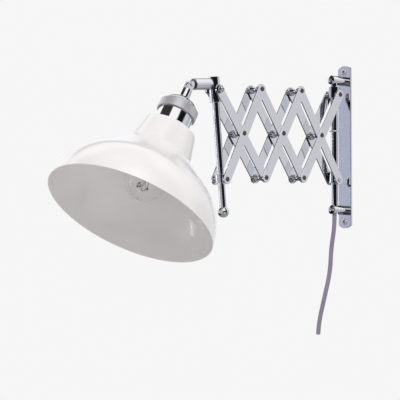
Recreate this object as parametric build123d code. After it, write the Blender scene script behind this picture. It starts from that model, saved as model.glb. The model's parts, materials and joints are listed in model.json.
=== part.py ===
from build123d import *

import os
from math import acos, atan2, cos, hypot, radians, sin, sqrt, tan

os.makedirs("parts", exist_ok=True)

# Axes: the wall is the plane X = 0 and the lamp stands out towards -X, with +Z up.
# Y runs along the wall. The two layers of scissor bars lie at -Y, near, and +Y, far.
# Sizes are millimetres and degrees.

# Wall strip: flat bar with a shallow arc across each end
strip_length = 234.0
strip_width = 24.0
strip_thickness = 3.0
strip_end_radius = 18.0
wall_screw_inset = 9.0
wall_screw_radius = 2.5
wall_screw_sink_radius = 4.7
wall_screw_sink_depth = 2.4

# Posts, square to the strip, and the vertical tube that they hold
post_inset = 24.0
post_lift = 1.5
post_radius = 6.5
post_nose = 8.5
post_dome_height = 2.0
post_cover = 2.0
tube_distance = 24.5
tube_radius = 5.0
tube_bore_radius = 4.0
post_screw_radius = 2.5
post_screw_head_radius = 4.6
post_screw_head_depth = 2.2
post_screw_reach = 12.0
post_screw_overrun = 2.0
set_screw_radius = 2.0
set_screw_recess = 0.5
set_screw_socket_radius = 1.0
set_screw_socket_depth = 1.5

# Rings on the wall tube
stop_ring_spare = 1.33
stop_ring_radius = 6.8
stop_ring_thickness = 2.0
retaining_ring_radius = 6.4
retaining_ring_thickness = 1.2

# Scissor: three crossed pairs on each side, drawn at a half-open fold
cell_count = 3
hole_pitch = 72.5
fold_angle = 57.5
droop = 1.9
longest_fold_angle = 27.0
bar_width = 13.6
bar_thickness = 2.0
bar_bevel = 0.25
rivet_radius = 2.2
rivet_head_radius = 3.4
rivet_head_height = 1.0
rivet_dimple_radius = 1.3
rivet_dimple_depth = 0.5
spacer_radius = 5.5
spacer_waist_radius = 3.7
spacer_land = 2.0
pin_shoulder_radius = 4.2
cap_nut_across_flats = 10.0
cap_nut_hex_height = 3.4
cap_nut_dome_radius = 4.5
cap_nut_dome_height = 4.0

# Collars, sliders and the front sleeve
collar_radius = 8.0
collar_length = 16.0
pin_rise = 4.5
collar_to_post = 3.5
front_slider_length = 11.0
sleeve_half_length = 17.5

# Front rod, its ball and the arm tube
rod_radius = 5.0
ball_radius = 8.0
ball_drop = 166.0
ball_seat_depth = 6.0
arm_tube_radius = 8.0
arm_tube_bore_radius = 6.9
arm_tube_rise = 8.0
arm_tube_start = 10.2
arm_tube_root = 2.0
arm_tube_reach = 39.5
arm_spigot_radius = 5.0

# Knuckle between the arm tube and the lamp head
knuckle_reach = 46.0
bush_length = 10.0
bush_recess = 2.0
shank_radius = 4.0
shank_head_radius = 5.8
shank_head_length = 1.6
eye_radius = 4.5
eye_half_width = 2.0
eye_neck_half_height = 3.0
eye_flange_length = 1.4
fork_half_width = 4.8
knuckle_screw_radius = 1.6
knuckle_head_radius = 3.2
knuckle_head_height = 1.5

# Lamp head: heights are measured down the head's axis from the knuckle's pivot
head_tilt = 31.0
stem_radius = 7.4
stem_top = 8.6
stem_shoulder = 1.5
stem_end = 23.0
spigot_radius = 5.0
spigot_length = 29.0
cap_wall = 1.5
cap_shoulder_radius = 25.5
cap_shoulder = 36.5
band_radius = 27.0
band_top = 38.0
band_end = 50.5
cup_radius = 24.3
cup_wall = 1.2
holder_radius = 19.8
holder_top = 50.0
holder_floor = 79.0
holder_end = 106.0
holder_bore_radius = 13.7
shade_top = 73.4
shade_wall = 1.2
shade_collar_top_radius = 37.2
shade_collar_radius = 45.6
shade_collar_end = 113.0
shade_waist_radius = 112.7
shade_waist = 172.4
shade_rim_radius = 116.5
shade_rim = 209.0
shade_edge_fillet = 3.4
shade_ridge_fillet = 4.0
shade_waist_fillet = 75.0
clamp_ring_radius = 28.0
clamp_ring_thickness = 5.6

# Bulb, with a 27 mm screw cap
bulb_radius = 28.0
bulb_centre = 156.0
bulb_neck_radius = 12.8
bulb_neck_top = 104.5
bulb_neck_end = 110.0
bulb_neck_fillet = 26.0
bulb_wall = 0.8
bulb_cap_radius = 13.2
bulb_cap_top = 83.0
bulb_contact_radius = 4.5
bulb_contact_tip = 79.6
bulb_mount_radius = 9.0
bulb_mount_tip_radius = 2.5
bulb_mount_waist = 118.0
bulb_mount_end = 138.0

# Flex: textile cord that hangs out of the wall tube's lower end
cord_radius = 3.2
cord_bush_length = 8.0
cord_route = [
    (-24.5, 0.0, -95.0),
    (-24.5, 0.0, -116.0),
    (-27.0, 4.5, -146.0),
    (-27.6, 6.0, -180.0),
    (-31.5, 14.5, -219.0),
    (-35.2, 21.4, -252.0),
    (-35.8, 22.2, -269.0),
]

# Clearances
running_gap = 0.05
fixed_gap = 0.03
slide_gap = 0.2
head_gap = 0.1
ear_gap = 0.15
cord_gap = 0.1
edge_bevel = 0.4

# Layers of the scissor, as distances from the middle plane
spacer_half_length = collar_radius + head_gap
inner_layer = spacer_half_length + head_gap
outer_layer = inner_layer + bar_thickness + slide_gap
outer_face = outer_layer + bar_thickness


def save(name, *solids):
    """Write one named piece, or a group of identical ones."""
    shape = solids[0] if len(solids) == 1 else Compound(children=list(solids))
    export_step(shape, f"parts/{name}.step")


def turned(curve):
    """Turn a closed outline, drawn as radius along X and height along Z, about the Z axis."""
    return revolve(make_face(curve), axis=Axis.Z)


def outline(*points):
    """Close straight lines through (radius, height) points."""
    corners = [(radius, 0, height) for radius, height in points]
    return Polyline(*corners, corners[0])


def disc(radius, low, high):
    """Round bar about the Z axis, between two heights."""
    return Pos(0, 0, low) * Cylinder(radius, high - low, align=(Align.CENTER, Align.CENTER, Align.MIN))


def ring(outer, inner, low, high):
    """Tube about the Z axis, between two heights."""
    return turned(outline((inner, low), (outer, low), (outer, high), (inner, high)))


def bevelled_ring(outer, inner, low, high, bevel):
    """Tube whose two outer edges are bevelled."""
    return turned(outline(
        (inner, low), (outer - bevel, low), (outer, low + bevel),
        (outer, high - bevel), (outer - bevel, high), (inner, high),
    ))


def dome_arc(radius, base, height):
    """Arc from a rim at a base height up to a tip on the axis, about a centre on the axis."""
    curve = (radius**2 + height**2) / (2 * height)
    centre = base + height - curve
    half_way = atan2(radius, base - centre) / 2
    return ThreePointArc(
        (radius, 0, base), (curve * sin(half_way), 0, centre + curve * cos(half_way)),
        (0, 0, base + height),
    )


def facing(point, direction):
    """Place whose +Z looks along a direction."""
    return Plane(origin=point, z_dir=direction).location


def sideways(point, side):
    """Place at a pivot whose +Z looks out to the near side, -1, or the far side, 1."""
    return Plane(origin=point, x_dir=(1, 0, 0), z_dir=(0, side, 0)).location


def pivot_bore(point, radius):
    """Drill along Y through both layers at a pivot."""
    reach = 2 * outer_face
    return sideways(point, 1) * disc(radius, -reach, reach)


# Wall strip, drawn from the wall outwards

on_wall = Plane(origin=(0, 0, 0), x_dir=(0, -1, 0), z_dir=(-1, 0, 0)).location
end_rise = strip_end_radius - sqrt(strip_end_radius**2 - (strip_width / 2) ** 2)
side_end = strip_length / 2 - end_rise
strip_outline = (
    Line((-strip_width / 2, -side_end), (-strip_width / 2, side_end))
    + ThreePointArc((-strip_width / 2, side_end), (0, strip_length / 2), (strip_width / 2, side_end))
    + Line((strip_width / 2, side_end), (strip_width / 2, -side_end))
    + ThreePointArc((strip_width / 2, -side_end), (0, -strip_length / 2), (-strip_width / 2, -side_end))
)
strip = extrude(make_face(strip_outline), strip_thickness)
strip = chamfer(strip.faces().sort_by(Axis.Z)[-1].edges(), edge_bevel)
wall_sink_floor = strip_thickness - wall_screw_sink_depth
wall_sink = turned(outline(
    (0, wall_sink_floor), (wall_screw_radius, wall_sink_floor),
    (wall_screw_sink_radius, strip_thickness), (wall_screw_sink_radius, 2 * strip_thickness),
    (0, 2 * strip_thickness),
))
post_sink = turned(outline(
    (0, 0), (post_screw_head_radius + running_gap, 0),
    (post_screw_radius + running_gap, post_screw_head_depth),
    (post_screw_radius + running_gap, strip_thickness),
    (0, strip_thickness),
))
wall_screw_height = strip_length / 2 - wall_screw_inset
post_spread = strip_length / 2 - post_inset
upper_post_height = post_spread + post_lift
lower_post_height = -post_spread + post_lift
post_heights = (lower_post_height, upper_post_height)
for end in (-1, 1):
    at_screw = Pos(0, end * wall_screw_height, 0)
    strip -= at_screw * disc(wall_screw_radius, 0, strip_thickness)
    strip -= at_screw * wall_sink
for post_height in post_heights:
    strip -= Pos(0, post_height, 0) * post_sink
save("wall_strip", on_wall * strip)

# Posts, with their hidden screws from behind and a set screw in each nose

post_end = tube_distance + post_nose
post_screw_end = strip_thickness + post_screw_reach
post_shoulder = post_end - post_dome_height
post = turned(
    Polyline(
        (0, 0, post_end), (0, 0, strip_thickness), (post_radius, 0, strip_thickness),
        (post_radius, 0, post_shoulder),
    )
    + dome_arc(post_radius, post_shoulder, post_dome_height)
)
post -= disc(post_screw_radius + running_gap, strip_thickness, post_screw_end + post_screw_overrun)
post -= disc(set_screw_radius + running_gap, tube_distance, post_end)
tube_top = upper_post_height + post_radius - post_cover
tube_bottom = lower_post_height - post_radius + post_cover
tube_hole_low = tube_bottom - 2 * post_cover
tube_hole = Pos(-tube_distance, 0, 0) * disc(tube_radius + running_gap, tube_hole_low, tube_top)
save("upper_post", on_wall * Pos(0, upper_post_height, 0) * post - tube_hole)
save("lower_post", on_wall * Pos(0, lower_post_height, 0) * post - tube_hole)

post_screw = turned(outline(
    (0, 0), (post_screw_head_radius, 0), (post_screw_radius, post_screw_head_depth),
    (post_screw_radius, post_screw_end), (0, post_screw_end),
))
save("post_screws", *[on_wall * Pos(0, post_height, 0) * post_screw for post_height in post_heights])

set_screw_end = post_end - set_screw_recess
set_screw = disc(set_screw_radius, tube_distance + tube_radius + running_gap, set_screw_end)
set_screw -= disc(set_screw_socket_radius, set_screw_end - set_screw_socket_depth, set_screw_end)
save("set_screws", *[on_wall * Pos(0, post_height, 0) * set_screw for post_height in post_heights])

# Wall tube and what sits on it

top_pivot_height = upper_post_height - post_radius - collar_to_post - (collar_length - pin_rise)
collar_low = top_pivot_height - pin_rise
longest_drop = 2 * hole_pitch * sin(radians(longest_fold_angle))
longest_slider_top = top_pivot_height - longest_drop + collar_length - pin_rise
stop_ring_height = longest_slider_top + stop_ring_spare
on_tube = Pos(-tube_distance, 0, 0)
save("wall_tube", on_tube * ring(tube_radius, tube_bore_radius, tube_bottom, tube_top - fixed_gap))
save("stop_ring", on_tube * bevelled_ring(
    stop_ring_radius, tube_radius + fixed_gap, stop_ring_height,
    stop_ring_height + stop_ring_thickness, edge_bevel,
))
ring_high = collar_low - slide_gap
save("retaining_ring", on_tube * ring(
    retaining_ring_radius, tube_radius + fixed_gap, ring_high - retaining_ring_thickness, ring_high,
))
cord_bush = ring(
    tube_bore_radius - fixed_gap, cord_radius + cord_gap, tube_bottom, tube_bottom + cord_bush_length,
)
save("cord_bush", on_tube * cord_bush)

# Pivots of the scissor. Number 3 is at the wall and 0 at the lamp. Each line from a top
# pivot to its bottom pivot leans by the droop more than the one before it.

half_reach = hole_pitch * cos(radians(fold_angle))
half_rise = hole_pitch * sin(radians(fold_angle))


def outwards(lean):
    """Direction away from the wall, square to a pivot line of this lean."""
    return Vector(-cos(radians(lean)), 0, -sin(radians(lean)))


def upwards(lean):
    """Direction up along a pivot line of this lean."""
    return Vector(-sin(radians(lean)), 0, cos(radians(lean)))


top = {cell_count: Vector(-tube_distance, 0, top_pivot_height)}
bottom = {cell_count: top[cell_count] - upwards(0) * 2 * half_rise}
middle = {}
for cell in range(cell_count, 0, -1):
    lean = (cell_count - cell) * droop
    middle[cell] = (top[cell] + bottom[cell]) / 2 + outwards(lean) * half_reach
    line_centre = middle[cell] + outwards(lean + droop) * half_reach
    top[cell - 1] = line_centre + upwards(lean + droop) * half_rise
    bottom[cell - 1] = line_centre - upwards(lean + droop) * half_rise
front_lean = cell_count * droop

# Bars: flat strips with round ends and three holes. The rising bars of each side are the
# outer ones. The middle hole lies a little above the line of the end holes.


def scissor_bar(start, centre, end, side, layer):
    """Bar from one end pivot to the other, with its inner face at a layer's distance."""
    along = end - start
    flat = Plane(
        origin=(start + end) / 2 + Vector(0, side * layer, 0), x_dir=along, z_dir=(0, side, 0)
    )
    blank = extrude(flat * SlotCenterToCenter(along.length, bar_width), bar_thickness)
    blank = chamfer(blank.faces().filter_by(Axis.Y).edges(), bar_bevel)
    for pivot in (start, centre, end):
        blank -= pivot_bore(pivot, rivet_radius + running_gap)
    return blank


for side, side_name in ((-1, "near"), (1, "far")):
    for cell in range(1, cell_count + 1):
        rising = scissor_bar(bottom[cell - 1], middle[cell], top[cell], side, outer_layer)
        falling = scissor_bar(top[cell - 1], middle[cell], bottom[cell], side, inner_layer)
        save(f"{side_name}_rising_bar_{cell}", rising)
        save(f"{side_name}_falling_bar_{cell}", falling)

# Rivets, each through both layers, and the waisted spacer tubes round them


def domed_head(radius, base, height):
    """Rounded head with a flat-bottomed dimple, from its base up."""
    tip = base + height
    shoulder = 0.45 * height
    return (
        Polyline(
            (0, 0, base), (radius, 0, base), (radius, 0, base + shoulder)
        )
        + ThreePointArc(
            (radius, 0, base + shoulder), (0.86 * radius, 0, base + 0.8 * height),
            (0.55 * radius, 0, tip),
        )
        + Polyline(
            (0.55 * radius, 0, tip), (rivet_dimple_radius, 0, tip),
            (rivet_dimple_radius, 0, tip - rivet_dimple_depth), (0, 0, tip - rivet_dimple_depth),
            (0, 0, base),
        )
    )


rivet_end = outer_face + head_gap
rivet_head = turned(domed_head(rivet_head_radius, rivet_end, rivet_head_height))
rivet = disc(rivet_radius, -rivet_end, rivet_end) + rivet_head + Rot(180, 0, 0) * rivet_head
spacer_bore_radius = rivet_radius + running_gap
waist_end = spacer_half_length - spacer_land
spacer = turned(
    Polyline(
        (spacer_radius, 0, waist_end), (spacer_radius, 0, spacer_half_length - edge_bevel),
        (spacer_radius - edge_bevel, 0, spacer_half_length), (spacer_bore_radius, 0, spacer_half_length),
        (spacer_bore_radius, 0, -spacer_half_length), (spacer_radius - edge_bevel, 0, -spacer_half_length),
        (spacer_radius, 0, -spacer_half_length + edge_bevel), (spacer_radius, 0, -waist_end),
    )
    + ThreePointArc(
        (spacer_radius, 0, -waist_end), (spacer_waist_radius, 0, 0), (spacer_radius, 0, waist_end),
    )
)
pivot_names = {f"middle_{cell}": middle[cell] for cell in range(1, cell_count + 1)}
pivot_names |= {f"top_{cell}": top[cell] for cell in range(1, cell_count)}
pivot_names |= {f"bottom_{cell}": bottom[cell] for cell in range(1, cell_count)}
for pivot_name, pivot in pivot_names.items():
    save(f"rivet_{pivot_name}", sideways(pivot, 1) * rivet)
    save(f"spacer_{pivot_name}", sideways(pivot, 1) * spacer)

# Collars and sliders, with a pin to each side. A pin for an outer bar has a shoulder that
# fills the inner bar's layer.

wall_pin_root = tube_radius + 3 * running_gap
front_pin_root = rod_radius + 3 * running_gap
shoulder_low = collar_radius + running_gap


def bar_pin(root, bar_outer_face, shouldered):
    """Pin from a root inside the collar's wall to a domed head outside the bar."""
    head_base = bar_outer_face + head_gap
    pin = disc(rivet_radius, root, head_base)
    pin += turned(domed_head(rivet_head_radius, head_base, rivet_head_height))
    if shouldered:
        pin += disc(pin_shoulder_radius, shoulder_low, outer_layer - head_gap)
    return pin


def pinned_collar(bore_radius, low, high):
    """Collar about its own axis with the pins' cross hole at height 0."""
    collar = bevelled_ring(collar_radius, bore_radius, low, high, edge_bevel)
    return collar - pivot_bore((0, 0, 0), rivet_radius + fixed_gap)


wall_outer_pin = bar_pin(wall_pin_root, outer_face, True)
wall_inner_pin = bar_pin(wall_pin_root, inner_layer + bar_thickness, False)
front_outer_pin = bar_pin(front_pin_root, outer_face, True)
at_wall_top = Location(top[cell_count])
at_wall_bottom = Location(bottom[cell_count])
wall_collar = pinned_collar(tube_radius + running_gap, -pin_rise, collar_length - pin_rise)
save("rear_collar", at_wall_top * wall_collar)
save("rear_collar_pins", *[sideways(top[cell_count], side) * wall_outer_pin for side in (-1, 1)])
save("rear_slider", at_wall_bottom * wall_collar)
save("rear_slider_pins", *[sideways(bottom[cell_count], side) * wall_inner_pin for side in (-1, 1)])

# Front sleeve, slider and rod, on the last pivot line, which leans most

at_front_top = Location(top[0]) * Rot(0, -front_lean, 0)
at_front_bottom = Location(bottom[0]) * Rot(0, -front_lean, 0)
sleeve = pinned_collar(rod_radius + fixed_gap, -sleeve_half_length, sleeve_half_length)
save("front_sleeve", at_front_top * sleeve)
nut_base = inner_layer + bar_thickness + head_gap
hex_top = nut_base + cap_nut_hex_height
nut_flats = RegularPolygon(cap_nut_across_flats / 2, 6, major_radius=False, rotation=30)
dome_tip = hex_top + cap_nut_dome_height
nut_dome = (
    Polyline((0, 0, dome_tip), (0, 0, hex_top), (cap_nut_dome_radius, 0, hex_top))
    + dome_arc(cap_nut_dome_radius, hex_top, cap_nut_dome_height)
)
cap_nut_pin = disc(rivet_radius, front_pin_root, nut_base)
cap_nut_pin += Pos(0, 0, nut_base) * extrude(nut_flats, cap_nut_hex_height)
cap_nut_pin += turned(nut_dome)
save("front_sleeve_pins", *[sideways(top[0], side) * cap_nut_pin for side in (-1, 1)])
front_collar = pinned_collar(rod_radius + running_gap, -pin_rise, front_slider_length - pin_rise)
save("front_slider", at_front_bottom * front_collar)
save("front_slider_pins", *[sideways(bottom[0], side) * front_outer_pin for side in (-1, 1)])

rod_end = -ball_drop + ball_radius - ball_seat_depth
front_rod = disc(rod_radius, rod_end, sleeve_half_length - edge_bevel)
save("front_rod", at_front_top * front_rod)
ball = Pos(0, 0, -ball_drop) * Sphere(ball_radius)
ball -= disc(rod_radius + fixed_gap, rod_end - fixed_gap, 0)
save("rod_ball", at_front_top * ball)

# Arm tube, closed at its root, on a spigot that is cut to the sleeve's curve. A brass bush
# sits in its mouth.

at_arm = at_front_top * Pos(0, 0, arm_tube_rise) * Rot(0, -90, 0)
root_end = arm_tube_start + arm_tube_root
arm_tube = bevelled_ring(
    arm_tube_radius, arm_tube_bore_radius, arm_tube_start, arm_tube_reach, edge_bevel
)
arm_tube += disc((arm_tube_radius + arm_tube_bore_radius) / 2, arm_tube_start, root_end)
arm_tube += disc(arm_spigot_radius, 0, root_end)
sleeve_cut = Rot(0, 90, 0) * disc(
    collar_radius + fixed_gap, -2 * sleeve_half_length, 2 * sleeve_half_length
)
save("arm_tube", at_arm * (arm_tube - sleeve_cut))
bush_mouth = arm_tube_reach - bush_recess
bush_root = bush_mouth - bush_length
save("arm_bush", at_arm * ring(
    arm_tube_bore_radius - fixed_gap, shank_radius + running_gap, bush_root, bush_mouth,
))

# Knuckle eye: its shank turns in the bush, and its flat eye carries the head

eye_flange = bush_mouth + slide_gap
shank_root = bush_root - slide_gap - shank_head_length
knuckle_eye = disc(shank_radius, shank_root, eye_flange)
knuckle_eye += disc(shank_head_radius, shank_root, shank_root + shank_head_length)
knuckle_eye += disc(eye_radius, eye_flange, eye_flange + eye_flange_length)
neck_length = knuckle_reach - eye_flange - eye_flange_length
knuckle_eye += Pos(0, 0, knuckle_reach - neck_length / 2) * Box(
    2 * eye_neck_half_height, 2 * eye_half_width, neck_length
)
in_arm_pivot = (0, 0, knuckle_reach)
knuckle_eye += sideways(in_arm_pivot, 1) * disc(eye_radius, -eye_half_width, eye_half_width)
knuckle_eye -= pivot_bore(in_arm_pivot, knuckle_screw_radius + running_gap)
save("knuckle_eye", at_arm * knuckle_eye)

# Lamp head, drawn hanging straight down from the knuckle's pivot and then tilted

knuckle = at_arm * Location(in_arm_pivot)
on_head = Location(knuckle.position) * Rot(0, head_tilt, 0)

slot_half_width = eye_half_width + ear_gap
slot_floor = eye_radius + 2 * ear_gap
fork = sideways((0, 0, 0), 1) * disc(eye_radius, -fork_half_width, fork_half_width)
fork += Pos(0, 0, -stem_top / 2) * Box(2 * eye_radius, 2 * fork_half_width, stem_top)
fork -= Pos(0, 0, stem_top) * Box(
    4 * eye_radius, 2 * slot_half_width, 2 * (stem_top + slot_floor)
)
fork -= pivot_bore((0, 0, 0), knuckle_screw_radius + running_gap)
stem = turned(outline(
    (0, -stem_top), (stem_radius - stem_shoulder, -stem_top), (stem_radius, -stem_top - stem_shoulder),
    (stem_radius, -stem_end), (spigot_radius, -stem_end), (spigot_radius, -stem_end - spigot_length),
    (0, -stem_end - spigot_length),
))
save("stem", on_head * (fork + stem))

screw_seat = fork_half_width + running_gap
knuckle_head = disc(knuckle_head_radius, screw_seat, screw_seat + knuckle_head_height)
knuckle_screw = disc(knuckle_screw_radius, -screw_seat, screw_seat)
knuckle_screw += knuckle_head + Rot(180, 0, 0) * knuckle_head
save("knuckle_screw", on_head * sideways((0, 0, 0), 1) * knuckle_screw)

# Socket cap: a dome over the cup, with a thick band round its skirt
band_bore_radius = cup_radius + fixed_gap
cap_outside = (
    Polyline((spigot_radius + fixed_gap, 0, -stem_end), (stem_radius, 0, -stem_end))
    + ThreePointArc(
        (stem_radius, 0, -stem_end), (0.68 * cap_shoulder_radius, 0, -0.77 * cap_shoulder),
        (cap_shoulder_radius, 0, -cap_shoulder),
    )
    + Polyline(
        (cap_shoulder_radius, 0, -cap_shoulder), (band_radius, 0, -band_top),
        (band_radius, 0, -band_end + edge_bevel), (band_radius - edge_bevel, 0, -band_end),
        (band_bore_radius, 0, -band_end), (band_bore_radius, 0, -band_top),
        (cup_radius - cup_wall, 0, -band_top),
    )
    + ThreePointArc(
        (cup_radius - cup_wall, 0, -band_top),
        (0.64 * cap_shoulder_radius, 0, -0.77 * cap_shoulder - cap_wall),
        (stem_radius, 0, -stem_end - cap_wall),
    )
    + Polyline(
        (stem_radius, 0, -stem_end - cap_wall), (spigot_radius + fixed_gap, 0, -stem_end - cap_wall),
        (spigot_radius + fixed_gap, 0, -stem_end),
    )
)
save("socket_cap", on_head * turned(cap_outside))

# Socket cup: open towards the cap, with a ledge below that stands on the shade
ledge_bore_radius = holder_radius + running_gap
cup_top = band_top + fixed_gap
save("socket_cup", on_head * turned(outline(
    (cup_radius, -cup_top), (cup_radius, -shade_top), (ledge_bore_radius, -shade_top),
    (ledge_bore_radius, -shade_top + cup_wall), (cup_radius - cup_wall, -shade_top + cup_wall),
    (cup_radius - cup_wall, -cup_top),
)))

# Lampholder body, on the stem's spigot and open downwards for the bulb's cap
save("lampholder", on_head * turned(outline(
    (spigot_radius + fixed_gap, -holder_top), (holder_radius, -holder_top), (holder_radius, -holder_end),
    (holder_bore_radius, -holder_end), (holder_bore_radius, -holder_floor),
    (spigot_radius + fixed_gap, -holder_floor),
)))

# Shade: spun sheet with a shouldered collar and a bell. Its inside is the outside moved in
# by the wall's thickness, so straight runs and arcs stay parallel.


def moved_in(points, wall):
    """Move a line through (radius, height) points to its left by a wall's thickness."""
    normals = []
    for (r0, h0), (r1, h1) in zip(points, points[1:]):
        length = hypot(r1 - r0, h1 - h0)
        normals.append(((h1 - h0) / length, -(r1 - r0) / length))
    inner = [(points[0][0] + wall * normals[0][0], points[0][1] + wall * normals[0][1])]
    for (r, h), (a0, b0), (a1, b1) in zip(points[1:], normals, normals[1:]):
        share = wall / (1 + a0 * a1 + b0 * b1)
        inner.append((r + share * (a0 + a1), h + share * (b0 + b1)))
    last_r, last_h = points[-1]
    return inner + [(last_r + wall * normals[-1][0], last_h + wall * normals[-1][1])]


def flat_line(points, radii):
    """Straight runs through (radius, height) points, with rounded corners."""
    return FilletPolyline(*[(r, 0, h) for r, h in points], radius=radii)


shade_points = [
    (ledge_bore_radius, -shade_top),
    (shade_collar_top_radius, -shade_top),
    (shade_collar_radius, -shade_collar_end),
    (shade_waist_radius, -shade_waist),
    (shade_rim_radius, -shade_rim),
]
outer_fillets = [shade_edge_fillet, shade_ridge_fillet, shade_waist_fillet]
inner_fillets = [
    shade_edge_fillet - shade_wall, shade_ridge_fillet + shade_wall, shade_waist_fillet - shade_wall,
]
shade_outside = flat_line(shade_points, outer_fillets)
shade_inside = flat_line(moved_in(shade_points, shade_wall), inner_fillets)
shade_profile = (
    shade_outside
    + Line(shade_outside @ 1, shade_inside @ 1)
    + shade_inside
    + Line(shade_inside @ 0, shade_outside @ 0)
)
save("shade", on_head * turned(shade_profile))

clamp_top = shade_top + shade_wall
save("shade_ring", on_head * bevelled_ring(
    clamp_ring_radius, ledge_bore_radius, -clamp_top - clamp_ring_thickness, -clamp_top, edge_bevel
))

# Bulb: clear glass shell, its metal cap and the glass mount inside


def glass_edge(radius, neck_radius):
    """Outline of one face of the glass: neck, straight flank that touches the globe, globe."""
    neck_drop = bulb_centre - bulb_neck_end
    touch_angle = atan2(neck_drop, neck_radius) - acos(radius / hypot(neck_radius, neck_drop))
    touch = (radius * cos(touch_angle), 0, -bulb_centre + radius * sin(touch_angle))
    neck = FilletPolyline(
        (neck_radius, 0, -bulb_neck_top), (neck_radius, 0, -bulb_neck_end), touch,
        radius=bulb_neck_fillet,
    )
    return neck + ThreePointArc(touch, (radius, 0, -bulb_centre), (0, 0, -bulb_centre - radius))


glass_profile = (
    glass_edge(bulb_radius, bulb_neck_radius)
    + Line((0, 0, -bulb_centre - bulb_radius), (0, 0, -bulb_centre - bulb_radius + bulb_wall))
    + glass_edge(bulb_radius - bulb_wall, bulb_neck_radius - bulb_wall)
    + Line((bulb_neck_radius - bulb_wall, 0, -bulb_neck_top), (bulb_neck_radius, 0, -bulb_neck_top))
)
save("bulb_glass", on_head * turned(glass_profile))
save("bulb_cap", on_head * turned(outline(
    (0, -bulb_contact_tip), (bulb_contact_radius, -bulb_contact_tip), (bulb_cap_radius, -bulb_cap_top),
    (bulb_cap_radius, -bulb_neck_top), (0, -bulb_neck_top),
)))
save("bulb_mount", on_head * turned(outline(
    (0, -bulb_neck_top), (bulb_mount_radius, -bulb_neck_top), (bulb_mount_tip_radius, -bulb_mount_waist),
    (bulb_mount_tip_radius, -bulb_mount_end), (0, -bulb_mount_end),
)))

# Flex: straight runs joined by tangent arcs, each as large as its two runs allow

route = [Vector(*point) for point in cord_route]
runs = [b - a for a, b in zip(route, route[1:])]
bend_radii = []
for before, after in zip(runs, runs[1:]):
    half_turn = radians(before.get_angle(after)) / 2
    bend_radii.append(0.45 * min(before.length, after.length) / tan(half_turn))
print("flex bend radii", [round(radius) for radius in bend_radii])
cord_path = FilletPolyline(*route, radius=bend_radii)
cord = sweep(facing(route[0], runs[0]) * Circle(cord_radius), path=cord_path)
print("flex length", round(cord_path.length, 1), "volume", round(cord.volume),
      "section times length", round(Circle(cord_radius).area * cord_path.length))
save("cord", cord)
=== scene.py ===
import json
from math import cos, pi, radians, sin

import bpy
import numpy as np
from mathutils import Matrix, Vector


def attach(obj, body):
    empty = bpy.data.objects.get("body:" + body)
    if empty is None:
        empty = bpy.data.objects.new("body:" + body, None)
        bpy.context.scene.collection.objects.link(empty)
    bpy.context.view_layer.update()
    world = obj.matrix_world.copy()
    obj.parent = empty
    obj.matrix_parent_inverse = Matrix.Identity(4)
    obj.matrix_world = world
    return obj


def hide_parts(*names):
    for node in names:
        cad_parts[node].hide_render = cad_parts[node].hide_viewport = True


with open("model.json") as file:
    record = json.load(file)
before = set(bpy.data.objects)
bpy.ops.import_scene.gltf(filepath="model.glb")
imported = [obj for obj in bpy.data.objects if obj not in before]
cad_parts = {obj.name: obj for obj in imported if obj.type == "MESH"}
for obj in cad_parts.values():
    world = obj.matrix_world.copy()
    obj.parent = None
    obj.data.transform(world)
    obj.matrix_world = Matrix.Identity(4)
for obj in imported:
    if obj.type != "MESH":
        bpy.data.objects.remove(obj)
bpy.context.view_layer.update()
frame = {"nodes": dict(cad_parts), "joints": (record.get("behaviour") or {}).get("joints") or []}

# ---------------------------------------------------------------------------------------
# Camera. A long lens looks a little up at the lamp, from its near left, square enough that
# the two layers of the scissor show side by side.

view_azimuth = radians(-44.0)
view_elevation = radians(-3.871)
view_distance = 2.9
view_target = Vector((-0.29156, 0.0, -0.09017))
view_lens = 194.42

to_camera = Vector((
    sin(view_azimuth) * cos(view_elevation),
    -cos(view_azimuth) * cos(view_elevation),
    sin(view_elevation),
))
camera_data = bpy.data.cameras.new("camera")
camera_data.lens = view_lens
camera_data.sensor_width = 36.0
camera_data.clip_end = 40.0
camera = bpy.data.objects.new("camera", camera_data)
camera.location = view_target + to_camera * view_distance
camera.rotation_mode = "QUATERNION"
camera.rotation_quaternion = (-to_camera).to_track_quat("-Z", "Y")
bpy.context.scene.collection.objects.link(camera)
bpy.context.scene.camera = camera
bpy.context.scene.view_settings.view_transform = "Standard"


# ---------------------------------------------------------------------------------------
# Studio: a dark room with pale walls behind and to the right of the lamp, a tall narrow window
# on the left, and two softboxes in front. Polished metal shows the room, so the world draws it
# for mirror rays only, in the colours that the chrome shows. Other rays get an even fill.


def linear(hex_colour):
    """Linear RGBA of an sRGB hex colour: the sRGB curve, undone for each channel."""
    channels = np.array([int(hex_colour[i:i + 2], 16) for i in (1, 3, 5)]) / 255
    curve = np.where(channels <= 0.04045, channels / 12.92, ((channels + 0.055) / 1.055) ** 2.4)
    return (*curve.tolist(), 1.0)


def add_node(tree, kind, settings=None, links=None):
    """Add one node: settings fill its properties or sockets, links join its sockets to outputs."""
    made = tree.nodes.new(kind)
    for key, value in (settings or {}).items():
        if isinstance(key, str) and key not in made.inputs:
            setattr(made, key, value)
        else:
            made.inputs[key].default_value = value
    for key, source in (links or {}).items():
        tree.links.new(source, made.inputs[key])
    return made


backdrop_colour = linear("#f6f6f6")
fill_level = 0.62
# Chrome gives back about this share of what it mirrors, so the room is drawn brighter by that
chrome_share = 0.68
no_light = (0.0, 0.0, 0.0, 1.0)

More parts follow.
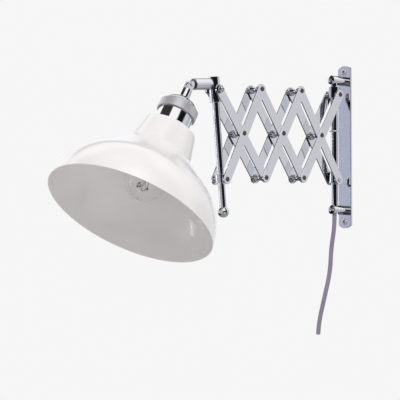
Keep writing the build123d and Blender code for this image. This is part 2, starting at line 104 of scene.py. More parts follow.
# The surfaces of the room, then where they stand round the lamp at four heights: the degrees
# round from the camera, to its right, at which one begins or ends. From there it shades off
# into the next. The high ring has a dim strip behind, where the pale wall ends.
unlit_room = "#141415"
brown_upper_wall = "#352f2e"
dim_strip = "#4c4a4a"
ceiling = "#8e8e94"
grey_floor = "#8b8c8f"
shaded_floor = "#5c5c60"
lit_floor = "#a6a6aa"
corner_shade = "#a6a7ac"
left_wall = "#a9acbe"
right_wall = "#c5c5ca"
pale_wall = "#d8dadf"
white_panel = "#f3f2f4"
lower_ring = (
    (-180, grey_floor), (-116, unlit_room), (-40, unlit_room), (-12, shaded_floor),
    (20, lit_floor), (52, lit_floor), (66, unlit_room), (76, unlit_room), (90, corner_shade),
    (110, corner_shade), (140, grey_floor), (180, grey_floor),
)
level_ring = (
    (-180, pale_wall), (-136, pale_wall), (-118, left_wall), (-78, left_wall), (-58, unlit_room),
    (73, unlit_room), (81, right_wall), (94, right_wall), (106, corner_shade), (134, pale_wall),
    (180, pale_wall),
)
upper_front = (
    (-123, white_panel), (-116, brown_upper_wall), (-22, brown_upper_wall), (-14, white_panel),
    (38, white_panel), (46, unlit_room), (74, unlit_room), (86, pale_wall), (108, white_panel),
)
upper_ring = (
    (-180, pale_wall), (-164, pale_wall), (-152, white_panel), *upper_front, (139, pale_wall),
    (180, pale_wall),
)
high_ring = (
    (-180, dim_strip), (-150, dim_strip), (-134, white_panel), *upper_front, (134, pale_wall),
    (150, dim_strip), (180, dim_strip),
)

# The heights between which one colour gives way to the next, as sines of the height angle
underfoot_to_lower = (-0.86, -0.7)
lower_to_level = (-0.17, -0.1)
level_to_upper = (0.2, 0.34)
upper_to_high = (0.52, 0.56)
high_to_upper = (0.66, 0.7)
upper_to_overhead = (0.86, 0.95)

window_bearing = radians(-94.6)
window_half_width = radians(2.2)
window_level = 5.0
window_sill = (-0.29, -0.25)
window_head = (0.09, 0.11)

world = bpy.data.worlds.new("studio")
bpy.context.scene.world = world
world.use_nodes = True
sky = world.node_tree
sky.nodes.clear()
ray = add_node(sky, "ShaderNodeLightPath")
direction = add_node(sky, "ShaderNodeTexCoord").outputs["Generated"]
level_camera = Vector((to_camera.x, to_camera.y, 0)).normalized()
level_right = Vector((cos(view_azimuth), sin(view_azimuth), 0))
ahead = add_node(
    sky, "ShaderNodeVectorMath", {"operation": "DOT_PRODUCT", 1: level_camera}, {0: direction},
)
aside = add_node(
    sky, "ShaderNodeVectorMath", {"operation": "DOT_PRODUCT", 1: level_right}, {0: direction},
)
bearing = add_node(
    sky, "ShaderNodeMath", {"operation": "ARCTAN2"}, {0: aside.outputs["Value"], 1: ahead.outputs["Value"]},
)
turn = add_node(
    sky, "ShaderNodeMath", {"operation": "MULTIPLY_ADD", 1: 0.5 / pi, 2: 0.5}, {0: bearing.outputs[0]},
)
height = add_node(sky, "ShaderNodeSeparateXYZ", links={0: direction}).outputs["Z"]


def ring_colour(ring):
    """Colour ramp once round the lamp, from the degrees and the surfaces of one ring."""
    ramp = add_node(sky, "ShaderNodeValToRGB", links={0: turn.outputs[0]})
    stops = ramp.color_ramp.elements
    stops[0].position = 0.0
    stops[0].color = linear(ring[0][1])
    stops[1].position = 1.0
    stops[1].color = linear(ring[-1][1])
    for degrees_round, surface in ring[1:-1]:
        stops.new(degrees_round / 360 + 0.5).color = linear(surface)
    return ramp.outputs[0]


def above(low, high, under, over):
    """Blend from one colour to another between two heights, as sines of the height angle."""
    share = add_node(
        sky, "ShaderNodeMapRange", {"interpolation_type": "SMOOTHSTEP", "From Min": low, "From Max": high},
        {"Value": height},
    )
    blend = add_node(sky, "ShaderNodeMix", {"data_type": "RGBA"}, {0: share.outputs[0]})
    for socket, colour in ((6, under), (7, over)):
        if isinstance(colour, tuple):
            blend.inputs[socket].default_value = colour
        else:
            sky.links.new(colour, blend.inputs[socket])
    return blend.outputs[2]


room = above(*lower_to_level, ring_colour(lower_ring), ring_colour(level_ring))
room = above(*level_to_upper, room, ring_colour(upper_ring))
room = above(*upper_to_high, room, ring_colour(high_ring))
room = above(*high_to_upper, room, ring_colour(upper_ring))
room = above(*underfoot_to_lower, linear(grey_floor), room)
room = above(*upper_to_overhead, room, linear(ceiling))
brighter = add_node(
    sky, "ShaderNodeVectorMath", {"operation": "SCALE", "Scale": 1 / chrome_share}, {0: room},
)
at_window = add_node(
    sky, "ShaderNodeMath", {"operation": "COMPARE", 1: window_bearing, 2: window_half_width},
    {0: bearing.outputs[0]},
)
window_light = (window_level, window_level, window_level, 1.0)
pane = above(*window_sill, no_light, window_light)
pane = above(*window_head, pane, no_light)
window = add_node(
    sky, "ShaderNodeVectorMath", {"operation": "SCALE"}, {0: pane, "Scale": at_window.outputs[0]},
)
lit_room = add_node(
    sky, "ShaderNodeVectorMath", {"operation": "ADD"}, {0: brighter.outputs[0], 1: window.outputs[0]},
)
fill_or_mirror = add_node(
    sky, "ShaderNodeMix", {"data_type": "RGBA", 6: (fill_level, fill_level, fill_level, 1)},
    {0: ray.outputs["Is Glossy Ray"], 7: lit_room.outputs[0]},
)
plain_view = add_node(
    sky, "ShaderNodeMath", {"operation": "MAXIMUM"},
    {0: ray.outputs["Is Camera Ray"], 1: ray.outputs["Is Transmission Ray"]},
)
seen = add_node(
    sky, "ShaderNodeMix", {"data_type": "RGBA", 7: backdrop_colour},
    {0: plain_view.outputs[0], 6: fill_or_mirror.outputs[2]},
)
sky_shader = add_node(sky, "ShaderNodeBackground", links={"Color": seen.outputs[2]})
add_node(sky, "ShaderNodeOutputWorld", links={"Surface": sky_shader.outputs[0]})


def softbox(name, place, power, width, tall):
    """Rectangular light that faces the middle of the view and isn't mirrored in the metal."""
    box = bpy.data.lights.new(name, "AREA")
    box.shape = "RECTANGLE"
    box.size = width
    box.size_y = tall
    box.energy = power
    lamp = bpy.data.objects.new(name, box)
    lamp.location = place
    lamp.rotation_mode = "QUATERNION"
    lamp.rotation_quaternion = (view_target - Vector(place)).to_track_quat("-Z", "Y")
    lamp.visible_glossy = False
    bpy.context.scene.collection.objects.link(lamp)


softbox("key_light", place=(-1.5, -1.1, 1.5), power=20.5, width=1.3, tall=1.3)
softbox("front_light", place=(-0.55, -2.1, 0.75), power=3.0, width=1.0, tall=1.4)


def finish_of(name, colour, roughness, metallic=0.0, bump=None, bump_depth=0.0, **others):
    """Material with one Principled shader. A setting is a value, or a function that adds nodes
    to the material's tree and returns their output. Bump depth is in metres."""
    material = bpy.data.materials.new(name)
    material.use_nodes = True
    tree = material.node_tree
    shader = tree.nodes["Principled BSDF"]
    shader.inputs["Metallic"].default_value = metallic
    for socket, value in {"Base Color": colour, "Roughness": roughness, **others}.items():
        target = shader.inputs[socket.replace("_", " ")]
        if callable(value):
            tree.links.new(value(tree), target)
        else:
            target.default_value = value
    if bump is not None:
        relief = add_node(
            tree, "ShaderNodeBump", {"Strength": 1.0, "Distance": bump_depth}, {"Height": bump(tree)},
        )
        tree.links.new(relief.outputs[0], shader.inputs["Normal"])
    return material


floor_height = -1.1
floor_side = 9.0
floor_lift = 0.36


def lift_for_camera(tree):
    """Glow that only the camera sees, which brings the floor up to the backdrop's colour."""
    return add_node(
        tree, "ShaderNodeMath", {"operation": "MULTIPLY", 1: floor_lift},
        {0: add_node(tree, "ShaderNodeLightPath").outputs["Is Camera Ray"]},
    ).outputs[0]


floor_mesh = bpy.data.meshes.new("floor")
floor_corners = [
    (x * floor_side / 2, y * floor_side / 2, floor_height) for x, y in ((-1, -1), (1, -1), (1, 1), (-1, 1))
]
floor_mesh.from_pydata(floor_corners, [], [(0, 1, 2, 3)])
floor_mesh.materials.append(finish_of(
    "matt_floor_paint", backdrop_colour, 0.9, Emission_Color=backdrop_colour,
    Emission_Strength=lift_for_camera,
))
floor = bpy.data.objects.new("floor", floor_mesh)
floor.visible_glossy = False
bpy.context.scene.collection.objects.link(floor)


# ---------------------------------------------------------------------------------------
# Flex: a three-core lead in a braided textile sleeve, mauve grey. It hangs out of the wall
# tube's lower end and is cut off square below.


def skin(name, rings, material):
    """Closed smooth mesh over a grid. Ring i is the row of points rings[i], joined to itself
    round, and each end of the stack is closed by a fan to its middle point."""
    count, around = rings.shape[:2]
    row, column = np.meshgrid(np.arange(count - 1), np.arange(around), indexing="ij")
    here = row * around + column
    beside = row * around + (column + 1) % around
    quads = np.stack([here, beside, beside + around, here + around], axis=-1).reshape(-1, 4)
    one = np.arange(around)
    two = (one + 1) % around
    top = (count - 1) * around
    first_fan = np.stack([np.full(around, count * around), two, one], axis=-1)
    last_fan = np.stack([np.full(around, count * around + 1), top + one, top + two], axis=-1)
    points = np.concatenate([rings.reshape(-1, 3), [rings[0].mean(0)], [rings[-1].mean(0)]])
    mesh = bpy.data.meshes.new(name)
    mesh.from_pydata(points.tolist(), [], quads.tolist() + first_fan.tolist() + last_fan.tolist())
    mesh.polygons.foreach_set("use_smooth", np.ones(len(mesh.polygons), bool))
    mesh.materials.append(material)
    piece = bpy.data.objects.new(name, mesh)
    bpy.context.scene.collection.objects.link(piece)
    return piece


def tube_rings(path, radius, around, reference):
    """Rings square to a path: point j of ring i is path i plus radius times the unit circle at
    angle j, on axes made from the path's direction and a reference that is never along it. The
    radius is one number, one for each ring, or one for each point."""
    ahead = np.gradient(path, axis=0)
    ahead /= np.linalg.norm(ahead, axis=1, keepdims=True)
    reference = np.asarray(reference, float)
    first = reference - (ahead @ reference)[:, None] * ahead
    first /= np.linalg.norm(first, axis=1, keepdims=True)
    second = np.cross(ahead, first)
    angle = np.linspace(0, 2 * pi, around, endpoint=False)[:, None]
    spokes = first[:, None] * np.cos(angle) + second[:, None] * np.sin(angle)
    columns = around if np.ndim(radius) == 2 else 1
    return path[:, None] + np.reshape(radius, (-1, columns, 1)) * spokes


def spaced(path, step):
    """The same path with points a step apart, and each point's distance along it."""
    lengths = np.linalg.norm(np.diff(path, axis=0), axis=1)
    along = np.concatenate([[0], np.cumsum(lengths)])
    places = np.linspace(0, along[-1], int(round(along[-1] / step)) + 1)
    return np.stack([np.interp(places, along, path[:, k]) for k in range(3)], axis=1), places


flex_radius = 0.0032
flex_route = [
    (-0.0245, 0.0, -0.095),
    (-0.0245, 0.0, -0.116),
    (-0.027, 0.0045, -0.146),
    (-0.0276, 0.006, -0.180),
    (-0.0315, 0.0145, -0.219),
    (-0.0352, 0.0214, -0.252),
    (-0.0358, 0.0222, -0.269),
]
flex_line = bpy.data.curves.new("flex_line", "CURVE")
flex_line.dimensions = "3D"
flex_line.resolution_u = 48
spline = flex_line.splines.new("NURBS")
spline.points.add(len(flex_route) - 1)
for point, place in zip(spline.points, flex_route):
    point.co = (*place, 1.0)
spline.order_u = 3
spline.use_endpoint_u = True
flex_holder = bpy.data.objects.new("flex_line", flex_line)
flex_trace = bpy.data.meshes.new_from_object(flex_holder)
flex_points = np.array([vertex.co for vertex in flex_trace.vertices])
bpy.data.objects.remove(flex_holder)
bpy.data.meshes.remove(flex_trace)

# The braid: eight yarns wind each way and cross over and under. Height and thread follow the
# difference of two opposite spirals.
yarns_each_way = 8
yarn_pitch = 0.0052
yarn_height = 0.00016
flex_around = 64
flex_step = 0.00045
flex_path, flex_along = spaced(flex_points, flex_step)
around_angle = np.linspace(0, 2 * pi, flex_around, endpoint=False)[None, :]
wind = 2 * pi * flex_along[:, None] / yarn_pitch
left_yarn = np.cos(yarns_each_way * around_angle + wind)
right_yarn = np.cos(yarns_each_way * around_angle - wind)
over = left_yarn - right_yarn
crown = np.abs(over) / 2
braid_reach = flex_radius - yarn_height + yarn_height * crown
flex_rings = tube_rings(flex_path, braid_reach, flex_around, (1, 0, 0))
# The dye fades unevenly over about 3 cm, and a loose fibre is a quarter of a millimetre across
fade_size = 1 / 34
fibre_size = 0.00025


def object_noise(tree, size, detail=2.0):
    """Noise in the object's own space, with features of one real size in metres."""
    place = add_node(tree, "ShaderNodeTexCoord")
    return add_node(
        tree, "ShaderNodeTexNoise", {"Scale": 1.0 / size, "Detail": detail},
        {"Vector": place.outputs["Object"]},
    ).outputs[0]


def braid_colour(tree):
    """Two close mauve-grey yarns, with painted shade in the gaps between crowns, and a slow uneven fade."""
    thread = add_node(tree, "ShaderNodeAttribute", {"attribute_name": "thread"})
    rise = add_node(tree, "ShaderNodeAttribute", {"attribute_name": "crown"})
    two_yarns = add_node(
        tree, "ShaderNodeMix",
        {"data_type": "RGBA", 6: linear("#a298ae"), 7: linear("#b2a8bc")}, {0: thread.outputs["Fac"]},
    )
    faded = add_node(
        tree, "ShaderNodeMix", {"data_type": "RGBA", "blend_type": "MULTIPLY", 0: 0.35},
        {6: two_yarns.outputs[2], 7: object_noise(tree, fade_size, 3.0)},
    )
    # Painted shade: the gaps between crowns are darkened to 55 %
    gap = add_node(
        tree, "ShaderNodeMapRange", {"From Min": 0.0, "From Max": 0.5, "To Min": 0.55, "To Max": 1.0},
        {"Value": rise.outputs["Fac"]},
    )
    shaded = add_node(
        tree, "ShaderNodeMix", {"data_type": "RGBA", "blend_type": "MULTIPLY", 0: 1.0},
        {6: faded.outputs[2], 7: gap.outputs[0]},
    )
    return shaded.outputs[2]


def fibre_relief(tree):
    """Loose fibres: fine noise a quarter of a millimetre across."""
    return object_noise(tree, fibre_size)


# Dyed polyester yarn: soft, with no clear highlight, and a faint pale bloom at the edges
textile_braid = finish_of(
    "braided_polyester_yarn", braid_colour, 0.82, bump=fibre_relief, bump_depth=0.00004,
    Sheen_Weight=0.3, Sheen_Roughness=0.4,
)
flex = skin("flex", flex_rings, textile_braid)
vertex_count = len(flex.data.vertices)
for attribute_name, values in (("crown", crown), ("thread", (over > 0).astype(float))):
    stored = np.zeros(vertex_count, np.float32)
    stored[:values.size] = values.ravel()
    flex.data.attributes.new(attribute_name, "FLOAT", "POINT").data.foreach_set("value", stored)
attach(flex, "root")
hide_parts("cord")

# The cut end: a white sheath flush with the braid, and three cores with bright copper strands
sheath_radius = 0.0027
sheath_lift = 0.00012
core_offset = 0.00125
core_radius = 0.00095
core_lift = 0.0004
strands_radius = 0.0005
strands_lift = 0.0006
plug_depth = 0.0006
end_point = flex_path[-1]
end_ahead = flex_path[-1] - flex_path[-2]
end_ahead /= np.linalg.norm(end_ahead)
end_side = np.cross(end_ahead, (1, 0, 0))
end_side /= np.linalg.norm(end_side)
end_other = np.cross(end_ahead, end_side)


def cut_disc(name, offset_angle, offset, radius, lift, hex_colour, metallic=0.0):
    """Short round plug in the cut end, domed a little, at an angle and distance from its middle.
    Its rings stand along the flex's direction at the plug's depth, 0, and 70 and 100 % of lift."""
    middle = end_point + offset * (cos(offset_angle) * end_side + sin(offset_angle) * end_other)
    steps = np.array([-plug_depth, 0.0, 0.7 * lift, lift])
    radii = radius * np.array([1.0, 1.0, 0.92, 0.6])
    rings = tube_rings(middle + steps[:, None] * end_ahead, radii, 20, (1, 0, 0))
    plug = skin(name, rings, finish_of(name, linear(hex_colour), 0.45, metallic))
    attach(plug, "root")
    return plug


cut_pieces = [cut_disc("flex_sheath_end", 0.0, 0.0, sheath_radius, sheath_lift, "#d9d7d2")]
for core_number, core_hex in enumerate(("#6b4630", "#3f6f9e", "#7f8f45")):
    core_angle = 2 * pi * core_number / 3
    cut_pieces.append(cut_disc(
        f"flex_core_{core_number + 1}", core_angle, core_offset, core_radius, core_lift, core_hex,
    ))
    cut_pieces.append(cut_disc(
        f"flex_strands_{core_number + 1}", core_angle, core_offset, strands_radius, strands_lift,
        "#c98a5e", 1.0,
    ))


# ---------------------------------------------------------------------------------------
# Turned and drawn chrome: posts, tubes, rod, collars, sliders, spacers, knuckle, socket cup.
# Steel, polished and plated with bright nickel under thin chromium, so a clear mirror with a
# cold tint and a slow polishing wave.

# A buffing wheel leaves a swell about 2 cm across, and handling a haze in patches of 1 cm
wave_size = 0.018
haze_size = 0.009
# Noise seldom leaves this range, so it is the range that is spread over a drift
noise_low = 0.3
noise_high = 0.7


def polish_wave(tree):
    """Slow swell that a buffing wheel leaves."""
    return object_noise(tree, wave_size, 1.0)


def between(low, high, size, detail=3.0):
    """Roughness that drifts between two values over patches of one size."""
    def build(tree):
        drift = object_noise(tree, size, detail)
        return add_node(
            tree, "ShaderNodeMapRange",
            {"From Min": noise_low, "From Max": noise_high, "To Min": low, "To Max": high},
            {"Value": drift},
        ).outputs[0]
    return build


def tinted(one, two, size):
    """Colour that drifts between two hex colours over patches of one size."""
    def build(tree):
        drift = object_noise(tree, size)
        return add_node(
            tree, "ShaderNodeMix", {"data_type": "RGBA", 6: linear(one), 7: linear(two)}, {0: drift},
        ).outputs[2]
    return build


def dress(material, *node_names):
    """Give CAD pieces one material in place of the plain one that they come with."""
    for node_name in node_names:
        slots = frame["nodes"][node_name].data.materials
        slots.clear()
        slots.append(material)


def nodes_with(words):
    """Names of the CAD pieces that hold these words."""
    return [name for name in frame["nodes"] if words in name]


polished_chrome = finish_of(
    "polished_chrome_plate", tinted("#d3d4d8", "#dadbde", 0.03), between(0.02, 0.06, haze_size), 1.0,
    bump=polish_wave, bump_depth=0.00012,
)
dress(
    polished_chrome, "upper_post", "lower_post", "wall_tube", "retaining_ring", "rear_collar",
    "rear_slider", "rear_slider_pins", "front_sleeve", "front_sleeve_pins", "front_slider",
    "front_rod", "rod_ball", "arm_tube", "knuckle_eye", "knuckle_screw", "stem", "socket_cup",
    *nodes_with("spacer_"),
)


# ---------------------------------------------------------------------------------------
# Rivets and pins: turned steel, plated like the rest, then set with a dimpling punch. The dimple
# and the crown round it are painted dark brown, as painted shade and a painted reflection of the
# dark room, and the skirt is left bright.

# The painted shade starts this far from the middle plane, on every long rivet and outer pin
rivet_crown = 0.01296
painted_shade_edge = 0.00002


def rivet_colour_with_painted_shade(tree):
    """Painted dark brown, as shade and reflection, beyond the crown's distance from the middle plane, and
    bright below it.
    """
    place = add_node(tree, "ShaderNodeTexCoord")
    sideways = add_node(tree, "ShaderNodeSeparateXYZ", links={0: place.outputs["Object"]}).outputs["Y"]
    distance = add_node(tree, "ShaderNodeMath", {"operation": "ABSOLUTE"}, {0: sideways})
    crown = add_node(
        tree, "ShaderNodeMapRange",
        {"From Min": rivet_crown - painted_shade_edge, "From Max": rivet_crown + painted_shade_edge},
        {"Value": distance.outputs[0]},
    )
    return add_node(
        tree, "ShaderNodeMix", {"data_type": "RGBA", 6: linear("#dcdce0"), 7: linear("#6b5850")},
        {0: crown.outputs[0]},
    ).outputs[2]


rivet_chrome = finish_of("plated_rivet_painted_shade", rivet_colour_with_painted_shade, between(0.03, 0.08, 0.004), 1.0)
dress(rivet_chrome, "rear_collar_pins", "front_slider_pins", *nodes_with("rivet_"))


# ---------------------------------------------------------------------------------------
# Wall strip and scissor bars: flat steel, stamped, tumbled and plated. Flat faces mirror one
# direction of the room each, a little hazier than the turned pieces.

stamped_chrome = finish_of(
    "stamped_chrome_plate", tinted("#d2d3d7", "#dadadd", 0.045), between(0.04, 0.09, haze_size), 1.0,
    bump=polish_wave, bump_depth=0.0002,
)
dress(stamped_chrome, "wall_strip", *nodes_with("_bar_"))


# ---------------------------------------------------------------------------------------
# Wall screws: two raised-head steel screws with a cross recess, nickel plated, sunk in the strip
# up to the rim of the dome. They are shown down to the strip's back only.

screw_height = 0.108
strip_face = 0.003
screw_head_radius = 0.0046
screw_rim_bevel = 0.0001
screw_shank_radius = 0.0024
screw_shank_length = 0.0007
screw_dome = 0.0026
screw_pole = 0.00008
dome_rings = 34
screw_around = 96
recess_arm = 0.0028
recess_half_width = 0.0007
recess_wall = 0.0002
recess_depth = 0.0022


def screw_colour(tree):
    """Bright nickel, with painted shade, almost black, down in the cross, where little light gets in."""
    sunk = add_node(tree, "ShaderNodeAttribute", {"attribute_name": "sunk"})
    return add_node(
        tree, "ShaderNodeMix", {"data_type": "RGBA", 6: linear("#e6e6e8"), 7: linear("#26282c")},
        {0: sunk.outputs["Fac"]},
    ).outputs[2]


screw_nickel = finish_of("nickel_plated_screw", screw_colour, between(0.2, 0.28, 0.002), 0.6)


def cross_head_screw(name, middle_height, turned_by):
    """Turned outline from the shank's end out to the head's rim and in over a shallow dome. The
    dome sinks into a cross: near either of two square lines, by a depth that fades at the tips."""
    outline = np.array([
        (screw_shank_radius, 0.0),
        (screw_shank_radius, screw_shank_length),
        (screw_head_radius - screw_rim_bevel, strip_face - screw_rim_bevel),
        (screw_head_radius, strip_face),
    ])
    inward = np.linspace(screw_head_radius, screw_pole, dome_rings)
    dome = strip_face + screw_dome * np.sqrt(1 - 0.98 * (inward / screw_head_radius) ** 2)
    profile = np.concatenate([outline, np.stack([inward, dome], axis=1)[1:]])
    angle = np.linspace(0, 2 * pi, screw_around, endpoint=False)
    across = profile[:, :1] * np.cos(angle)
    upward = profile[:, :1] * np.sin(angle)
    out = np.repeat(profile[:, 1:], screw_around, axis=1)
    arm_gap = np.minimum(np.abs(across), np.abs(upward))
    inside = np.clip((recess_half_width - arm_gap) / recess_wall, 0, 1)
    fade = np.clip((recess_arm - profile[:, :1]) / recess_arm * 1.7, 0, 1)
    on_face = (np.arange(len(profile)) >= len(outline))[:, None]
    sunk = on_face * inside * fade
    out = out - recess_depth * sunk
    beside = across * cos(turned_by) - upward * sin(turned_by)
    raised = across * sin(turned_by) + upward * cos(turned_by)
    rings = np.stack([-out, -beside, middle_height + raised], axis=-1)
    screw = skin(name, rings, screw_nickel)
    # Share of painted shade at each point, from how deep it lies in the cross
    recess_shade_share = np.zeros(len(screw.data.vertices), np.float32)
    recess_shade_share[:sunk.size] = np.minimum(1.6 * sunk, 1).ravel()
    screw.data.attributes.new("sunk", "FLOAT", "POINT").data.foreach_set("value", recess_shade_share)
    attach(screw, "root")


cross_head_screw("upper_wall_screw", screw_height, radians(24))
cross_head_screw("lower_wall_screw", -screw_height, radians(38))


# ---------------------------------------------------------------------------------------
# Post screws and set screws: headed and threaded steel, zinc plated, which gives a dull grey
# satin. The first hold the posts from the strip's back, the second grip the tube in the posts.

zinc_steel = finish_of(
    "zinc_plated_screw_steel", tinted("#a9a6a4", "#bdb9b6", 0.003), between(0.22, 0.36, 0.002), 1.0,
)
dress(zinc_steel, "post_screws", "set_screws")


# ---------------------------------------------------------------------------------------
# Stop ring: a ring of clear soft PVC, moulded and pushed over the wall tube. It lets light
# through a little milky.

clear_pvc = finish_of(
    "clear_soft_pvc", tinted("#eef0f2", "#f8f9fa", 0.004), between(0.12, 0.25, 0.002),
    Transmission_Weight=0.55, IOR=1.53,
)
dress(clear_pvc, "stop_ring")


# ---------------------------------------------------------------------------------------
# Cord bush: black rubber, moulded, pressed into the wall tube's lower end. Matt and almost
# without a highlight.

black_rubber = finish_of(
    "moulded_black_rubber", tinted("#1a1a1b", "#242425", 0.003), between(0.55, 0.75, 0.002),
    bump=polish_wave, bump_depth=0.00002,
)
dress(black_rubber, "cord_bush")


# ---------------------------------------------------------------------------------------
# Arm bush: brass in the arm tube's mouth, turned and left bare, so it has gone dark and brown
# with age.

turned_brass = finish_of(
    "turned_brass", tinted("#4c3c20", "#5e4b2a", 0.003), between(0.18, 0.32, 0.002), 1.0,
)
dress(turned_brass, "arm_bush")


# ---------------------------------------------------------------------------------------
# Socket cap: a spun steel dome, chrome plated, with a brushed band round its skirt. The brushing
# runs round the head's axis, so its lines are noise squeezed along that axis.

tilt_joint = next(joint for joint in frame["joints"] if joint["name"] == "head_tilt")
knuckle = Vector(tilt_joint["pos_m"])
head_lean = radians(31.0)
head_down = Vector((-sin(head_lean), 0.0, -cos(head_lean)))
head_across = Vector((cos(head_lean), 0.0, -sin(head_lean)))
band_top = 0.0375
band_edge = 0.0003
# Lines from real brushing are finer than this, which is as fine as shows. A stroke is 8 cm long.
brush_line = 0.00045
brush_stroke = 1 / 12


def head_space(tree):
    """Object space moved to the knuckle and turned, so that -Z runs down the lamp head."""
    place = add_node(tree, "ShaderNodeTexCoord")
    moved = add_node(
        tree, "ShaderNodeVectorMath", {"operation": "SUBTRACT", 1: knuckle}, {0: place.outputs["Object"]},
    )
    return add_node(
        tree, "ShaderNodeVectorRotate",
        {"rotation_type": "Y_AXIS", "Angle": -head_lean}, {"Vector": moved.outputs[0]},
    ).outputs[0]


def band_share(tree):
    """1 on the brushed band and 0 on the dome, from the distance down the head."""
    down = add_node(tree, "ShaderNodeSeparateXYZ", links={0: head_space(tree)}).outputs["Z"]
    return add_node(
        tree, "ShaderNodeMapRange",
        {"From Min": -band_top + band_edge, "From Max": -band_top - band_edge}, {"Value": down},
    ).outputs[0]


def brush_lines(tree):
    """Lines round the head's axis: noise squeezed to a line along it and drawn out across it."""
    squeezed = add_node(
        tree, "ShaderNodeMapping", {"Scale": (1 / brush_stroke, 1 / brush_stroke, 1 / brush_line)},
        {"Vector": head_space(tree)},
    )
    return add_node(
        tree, "ShaderNodeTexNoise", {"Scale": 1.0, "Detail": 3.0}, {"Vector": squeezed.outputs[0]},
    ).outputs[0]


def cap_roughness(tree):
    """A clear mirror on the dome, and a scatter from the lines on the band."""
    lines = add_node(
        tree, "ShaderNodeMapRange",
        {"From Min": noise_low, "From Max": noise_high, "To Min": 0.34, "To Max": 0.5},
        {"Value": brush_lines(tree)},
    )
    return add_node(
        tree, "ShaderNodeMix", {"data_type": "FLOAT", 2: 0.05}, {0: band_share(tree), 3: lines.outputs[0]},
    ).outputs[0]


def cap_colour(tree):
    """Chrome, with the band's lines alternating a little light and dark."""
    lined = add_node(
        tree, "ShaderNodeMix", {"data_type": "RGBA", 6: linear("#b4b1b6"), 7: linear("#dcdadf")},
        {0: brush_lines(tree)},
    )
    return add_node(
        tree, "ShaderNodeMix", {"data_type": "RGBA", 6: linear("#d6d7da")},
        {0: band_share(tree), 7: lined.outputs[2]},
    ).outputs[2]


def cap_relief(tree):
    """Height of the brushed lines, only on the band."""
    return add_node(
        tree, "ShaderNodeMath", {"operation": "MULTIPLY"}, {0: band_share(tree), 1: brush_lines(tree)},
    ).outputs[0]


def cap_metal_share(tree):
    """Bare mirror on the dome. The band's lines scatter so much that half of it looks matt."""
    return add_node(
        tree, "ShaderNodeMapRange", {"To Min": 1.0, "To Max": 0.5}, {"Value": band_share(tree)},
    ).outputs[0]


brushed_cap = finish_of(
    "spun_chrome_with_brushed_band", cap_colour, cap_roughness, bump=cap_relief, bump_depth=0.00003,
    Metallic=cap_metal_share,
)
dress(brushed_cap, "socket_cap")


# ---------------------------------------------------------------------------------------
# Shade: spun sheet steel, sprayed inside and out with a warm white gloss enamel. The gloss gives
# a clear soft-edged highlight, and the spray a faint orange peel.

peel_size = 0.0016


def orange_peel(tree):
    """Low bumps a millimetre and a half across, as sprayed enamel dries."""
    return object_noise(tree, peel_size, 1.0)


enamel = finish_of(
    "warm_white_gloss_enamel", tinted("#f0ecec", "#f4f1f0", 0.05), between(0.16, 0.24, 0.03),
    bump=orange_peel, bump_depth=0.000012, Coat_Weight=0.35, Coat_Roughness=0.06,
)
dress(enamel, "shade")


# ---------------------------------------------------------------------------------------
# Lampholder and clamp ring: pressed porcelain under a clear glaze, with a sharp highlight, and a
# ring of white moulded thermoset, with a broad one. The ring clamps the shade to the holder.

glazed_porcelain = finish_of(
    "glazed_porcelain", tinted("#e6e2da", "#eeebe4", 0.01), between(0.14, 0.22, 0.01),
)
moulded_ring = finish_of(
    "moulded_white_thermoset", tinted("#dddad2", "#e6e3dc", 0.006), between(0.35, 0.45, 0.004),
)
dress(glazed_porcelain, "lampholder")
dress(moulded_ring, "shade_ring")


# ---------------------------------------------------------------------------------------
# Bulb: clear blown glass on a nickel-plated screw cap, with a glass mount, two lead wires, three
# supports on a button rod, and a coiled filament.

# Blown glass is clear and quite smooth, so it shows only its edge and its highlights
blown_glass = finish_of(
    "clear_blown_glass", (1.0, 1.0, 1.0, 1.0), 0.0, Transmission_Weight=1.0, IOR=1.5,
)
dress(blown_glass, "bulb_glass", "bulb_mount")
# The cap is rolled brass, nickel plated in a barrel: warm grey and satin
nickel_cap = finish_of(
    "nickel_plated_brass_cap", tinted("#c9c7c0", "#d6d4cd", 0.004), between(0.2, 0.3, 0.003), 1.0,
)
dress(nickel_cap, "bulb_cap")
# Drawn wire is grey and a little rough
wire_metal = finish_of(
    "molybdenum_and_tungsten_wire", tinted("#5a5856", "#77746f", 0.002), between(0.3, 0.45, 0.002), 1.0,
)

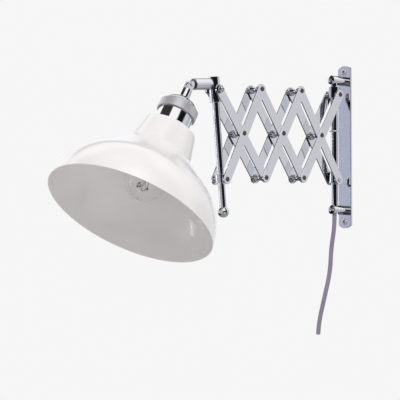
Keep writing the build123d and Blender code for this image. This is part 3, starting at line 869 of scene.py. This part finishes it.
# Distances down the head's axis from the knuckle, then the wires' own sizes
mount_tip = 0.1375
button_drop = 0.154
ring_drop = 0.166
lead_radius = 0.00035
lead_half_gap = 0.002
support_radius = 0.00021
support_count = 3
rod_radius = 0.001
ring_radius = 0.007
ring_turn = radians(290)
filament_radius = 0.00022
coil_radius = 0.0007
coil_turns = 44
coil_steps = 12
filament_waves = 4
filament_wave = 0.0022
# A direction that no straight wire of the bulb lies along
slanting = (0.3, 1, 0.2)


def in_head(down, across, sideways):
    """Points of the head: so far down its axis from the knuckle, across it, and along Y."""
    steps = np.stack(np.broadcast_arrays(down, across, sideways), axis=-1)
    return np.array(knuckle) + steps @ np.array([head_down, head_across, (0.0, 1.0, 0.0)])


def wire(name, path, radius, reference, around=8):
    """Round wire along a path of points."""
    made = skin(name, tube_rings(path, radius, around, reference), wire_metal)
    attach(made, "head")


# The filament is a coil bent round in a horseshoe that waves up and down. Two leads carry its
# ends and three thin supports fan out to it from the end of a button rod above the mount.
along_wire = np.linspace(0, 1, 20)
ring_start = -pi / 2 + (2 * pi - ring_turn) / 2
for lead_number, lead_angle in enumerate((ring_start, ring_start + ring_turn)):
    reach = lead_half_gap + (ring_radius - lead_half_gap) * along_wire ** 1.5
    drop = mount_tip + (ring_drop - mount_tip) * along_wire
    lead_path = in_head(drop, reach * cos(lead_angle), reach * sin(lead_angle))
    wire(f"lead_wire_{lead_number + 1}", lead_path, lead_radius, slanting)
for support_number in range(support_count):
    support_angle = ring_start + ring_turn * (support_number + 1) / (support_count + 1)
    reach = ring_radius * along_wire
    drop = button_drop + (ring_drop - button_drop) * along_wire
    support_path = in_head(drop, reach * cos(support_angle), reach * sin(support_angle))
    wire(f"support_wire_{support_number + 1}", support_path, support_radius, slanting)
rod_path = in_head(mount_tip + (button_drop - mount_tip) * along_wire, 0.0, 0.0)
wire("button_rod", rod_path, rod_radius, slanting, 16)

coil_angle = np.linspace(0, 2 * pi * coil_turns, coil_turns * coil_steps)
along_ring = np.linspace(ring_start, ring_start + ring_turn, len(coil_angle))
coil_reach = ring_radius + coil_radius * np.cos(coil_angle)
wave_drop = filament_wave * np.cos(filament_waves * (along_ring - ring_start))
filament_path = in_head(
    ring_drop + wave_drop + coil_radius * np.sin(coil_angle),
    coil_reach * np.cos(along_ring), coil_reach * np.sin(along_ring),
)
wire("filament", filament_path, filament_radius, tuple(head_down), 6)
